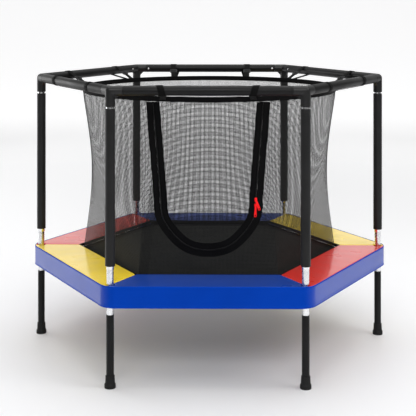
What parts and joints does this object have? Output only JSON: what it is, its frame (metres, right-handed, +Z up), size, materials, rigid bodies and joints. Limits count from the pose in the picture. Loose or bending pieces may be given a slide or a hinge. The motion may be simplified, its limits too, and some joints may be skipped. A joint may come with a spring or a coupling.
{
  "type": "trampoline",
  "caption": "Six-sided children's trampoline on tube legs with a net enclosure hung inside a raised tube frame, a zipped door, padded edges and a sprung mat.",
  "frame": {"origin": "on the floor under the middle of the mat", "axes": "+Z up, +X towards a corner post, -Y towards the side with the zipped door"},
  "size_m": [1.4518, 1.276, 1.0843],
  "materials": {
    "leg_paint": "satin",
    "frame_paint": "satin",
    "rail_paint": "gloss",
    "zinc_tube": "satin",
    "zinc_joint": "satin",
    "ring_zinc": "satin",
    "spring_zinc": "satin",
    "screw_steel": "satin",
    "connector_plastic": "satin",
    "foot_rubber": "matte",
    "sleeve_foam": "satin",
    "pad_blue": "gloss",
    "pad_red": "gloss",
    "pad_yellow": "gloss",
    "skirt_vinyl": "gloss",
    "mat_weave": "matte",
    "net_mesh": "matte",
    "hoop_band": "matte",
    "strap_webbing": "matte",
    "buckle_plastic": "matte",
    "slider_red": "gloss",
    "pull_red": "gloss"
  },
  "bodies": {
    "frame": {"leg_right": "leg_paint", "upright_right": "zinc_tube", "corner_joint_right": "zinc_joint", "top_connector_right": "connector_plastic", "leg_back_right": "leg_paint", "upright_back_right": "zinc_tube", "corner_joint_back_right": "zinc_joint", "top_connector_back_right": "connector_plastic", "leg_back_left": "leg_paint", "upright_back_left": "zinc_tube", "corner_joint_back_left": "zinc_joint", "top_connector_back_left": "connector_plastic", "leg_left": "leg_paint", "upright_left": "zinc_tube", "corner_joint_left": "zinc_joint", "top_connector_left": "connector_plastic", "leg_front_left": "leg_paint", "upright_front_left": "zinc_tube", "corner_joint_front_left": "zinc_joint", "top_connector_front_left": "connector_plastic", "leg_front_right": "leg_paint", "upright_front_right": "zinc_tube", "corner_joint_front_right": "zinc_joint", "top_connector_front_right": "connector_plastic", "base_rail_right_back": "frame_paint", "top_rail_right_back": "rail_paint", "pad_right_back": "pad_yellow", "base_rail_back": "frame_paint", "top_rail_back": "rail_paint", "pad_back": "pad_blue", "base_rail_left_back": "frame_paint", "top_rail_left_back": "rail_paint", "pad_left_back": "pad_red", "base_rail_left_front": "frame_paint", "top_rail_left_front": "rail_paint", "pad_left_front": "pad_yellow", "base_rail_front": "frame_paint", "top_rail_front": "rail_paint", "pad_front": "pad_blue", "base_rail_right_front": "frame_paint", "top_rail_right_front": "rail_paint", "pad_right_front": "pad_red", "rubber_feet": "foot_rubber", "foam_sleeves": "sleeve_foam", "connector_screws": "screw_steel", "pad_skirt": "skirt_vinyl", "mat_springs": "spring_zinc", "net_hoop": "hoop_band", "net_front": "net_mesh", "net_panels": "net_mesh", "rail_straps": "strap_webbing", "strap_buckles": "buckle_plastic"},
    "bed": {"jumping_mat": "mat_weave", "mat_rings": "ring_zinc"},
    "door": {"door_flap": "net_mesh"},
    "upper_slider": {"zip_slider_upper": "slider_red"},
    "lower_slider": {"zip_slider_lower": "slider_red"},
    "upper_pull": {"zip_pull_upper": "pull_red"},
    "lower_pull": {"zip_pull_lower": "pull_red"}
  },
  "joints": [
    {"name": "mat_bounce", "type": "slide", "parent": "frame", "child": "bed", "axis": [0, 0, -1], "range_m": [0, 0.12], "stiffness_N_per_m": 6000, "springref_m": -0.004, "deforming": ["mat_springs"]},
    {"name": "door_swing", "type": "hinge", "parent": "frame", "child": "door", "pos_m": [0, -0.523, 1.0117], "axis": [-1, 0, 0], "range_deg": [0, 75]},
    {"name": "upper_slider_run", "type": "slide", "parent": "door", "child": "upper_slider", "axis": [0.0732, -0.0857, 0.9936], "range_m": [0, 0.33]},
    {"name": "lower_slider_run", "type": "slide", "parent": "door", "child": "lower_slider", "axis": [-0.1041, -0.014, -0.9945], "range_m": [0, 0.03]},
    {"name": "upper_pull_swing", "type": "hinge", "parent": "upper_slider", "child": "upper_pull", "pos_m": [0.17792, -0.45186, 0.64293], "axis": [-0.8878, -0.2937, -0.3543], "range_deg": [0, 150]},
    {"name": "lower_pull_swing", "type": "hinge", "parent": "lower_slider", "child": "lower_pull", "pos_m": [0.17723, -0.45162, 0.62093], "axis": [-0.9459, -0.3219, 0.0411], "range_deg": [0, 150]}
  ]
}
